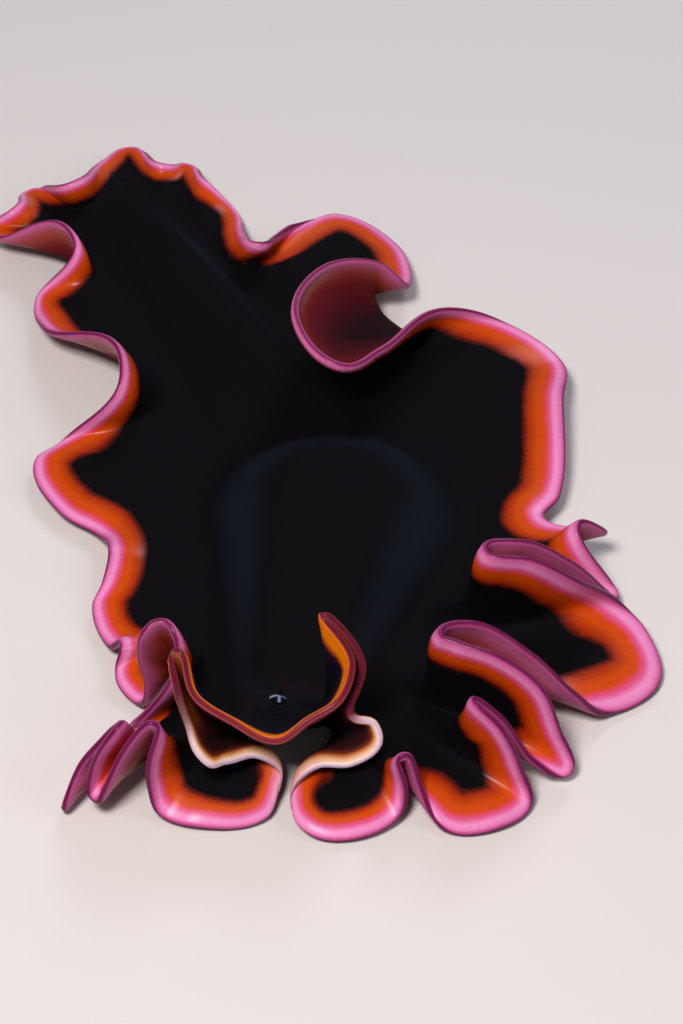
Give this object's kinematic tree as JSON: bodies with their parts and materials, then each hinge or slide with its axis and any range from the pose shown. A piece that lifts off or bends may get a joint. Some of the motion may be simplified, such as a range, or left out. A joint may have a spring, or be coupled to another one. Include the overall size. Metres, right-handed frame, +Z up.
{
  "type": "flatworm figure",
  "caption": "Still, life-size black marine flatworm with a ruffled pink and orange margin, two folded pseudotentacles and a flat belly that rests on a surface.",
  "frame": {"origin": "middle of the bounding box's floor face: under the body, at the level of the belly", "axes": "+Y from head to tail, +X to the animal's left, +Z up from the belly to the back"},
  "size_m": [0.0492, 0.0704, 0.0131],
  "materials": {
    "cheek_left": "pink and orange bands with a burgundy rim, moist",
    "cheek_right": "pink and orange bands with a burgundy rim, moist",
    "collar": "pink and orange bands with a burgundy rim, moist",
    "curl_left": "pink and orange bands with a burgundy rim, moist",
    "eye_cluster": "pale blue grey, faintly glossy",
    "head": "velvety blue black, moist",
    "head_collar": "velvety blue black, moist",
    "pseudotentacle_left": "pink and orange bands with a burgundy rim, moist",
    "pseudotentacle_right": "pink and orange bands with a burgundy rim, moist",
    "ruffle_left_1": "pink and orange bands with a burgundy rim, moist",
    "ruffle_left_2": "pink and orange bands with a burgundy rim, moist",
    "ruffle_left_3": "pink and orange bands with a burgundy rim, moist",
    "ruffle_left_4": "pink and orange bands with a burgundy rim, moist",
    "ruffle_left_5": "pink and orange bands with a burgundy rim, moist",
    "ruffle_left_6": "pink and orange bands with a burgundy rim, moist",
    "ruffle_left_7": "pink and orange bands with a burgundy rim, moist",
    "ruffle_left_8": "pink and orange bands with a burgundy rim, moist",
    "ruffle_right_1": "pink and orange bands with a burgundy rim, moist",
    "ruffle_right_2": "pink and orange bands with a burgundy rim, moist",
    "ruffle_right_3": "pink and orange bands with a burgundy rim, moist",
    "ruffle_right_4": "pink and orange bands with a burgundy rim, moist",
    "ruffle_right_5": "pink and orange bands with a burgundy rim, moist",
    "ruffle_right_6": "pink and orange bands with a burgundy rim, moist",
    "ruffle_right_7": "pink and orange bands with a burgundy rim, moist",
    "skirt_left_1": "velvety blue black, moist",
    "skirt_left_2": "velvety blue black, moist",
    "skirt_left_3": "velvety blue black, moist",
    "skirt_left_4": "velvety blue black, moist",
    "skirt_left_5": "velvety blue black, moist",
    "skirt_right_1": "velvety blue black, moist",
    "skirt_right_2": "velvety blue black, moist",
    "skirt_right_3": "velvety blue black, moist",
    "skirt_right_4": "velvety blue black, moist",
    "skirt_right_5": "velvety blue black, moist",
    "skirt_tail": "velvety blue black, moist",
    "tail": "velvety blue black, moist",
    "tail_ruffle_left": "pink and orange bands with a burgundy rim, moist",
    "tail_ruffle_right": "pink and orange bands with a burgundy rim, moist",
    "tail_tip": "pink and orange bands with a burgundy rim, moist",
    "trunk_front": "velvety blue black, moist",
    "trunk_middle": "velvety blue black, moist",
    "trunk_rear": "velvety blue black, moist"
  },
  "bodies": {
    "root": {"cheek_left": "cheek_left", "cheek_right": "cheek_right", "collar": "collar", "curl_left": "curl_left", "eye_cluster": "eye_cluster", "head": "head", "head_collar": "head_collar", "pseudotentacle_left": "pseudotentacle_left", "pseudotentacle_right": "pseudotentacle_right", "ruffle_left_1": "ruffle_left_1", "ruffle_left_2": "ruffle_left_2", "ruffle_left_3": "ruffle_left_3", "ruffle_left_4": "ruffle_left_4", "ruffle_left_5": "ruffle_left_5", "ruffle_left_6": "ruffle_left_6", "ruffle_left_7": "ruffle_left_7", "ruffle_left_8": "ruffle_left_8", "ruffle_right_1": "ruffle_right_1", "ruffle_right_2": "ruffle_right_2", "ruffle_right_3": "ruffle_right_3", "ruffle_right_4": "ruffle_right_4", "ruffle_right_5": "ruffle_right_5", "ruffle_right_6": "ruffle_right_6", "ruffle_right_7": "ruffle_right_7", "skirt_left_1": "skirt_left_1", "skirt_left_2": "skirt_left_2", "skirt_left_3": "skirt_left_3", "skirt_left_4": "skirt_left_4", "skirt_left_5": "skirt_left_5", "skirt_right_1": "skirt_right_1", "skirt_right_2": "skirt_right_2", "skirt_right_3": "skirt_right_3", "skirt_right_4": "skirt_right_4", "skirt_right_5": "skirt_right_5", "skirt_tail": "skirt_tail", "tail": "tail", "tail_ruffle_left": "tail_ruffle_left", "tail_ruffle_right": "tail_ruffle_right", "tail_tip": "tail_tip", "trunk_front": "trunk_front", "trunk_middle": "trunk_middle", "trunk_rear": "trunk_rear"}
  },
  "joints": []
}
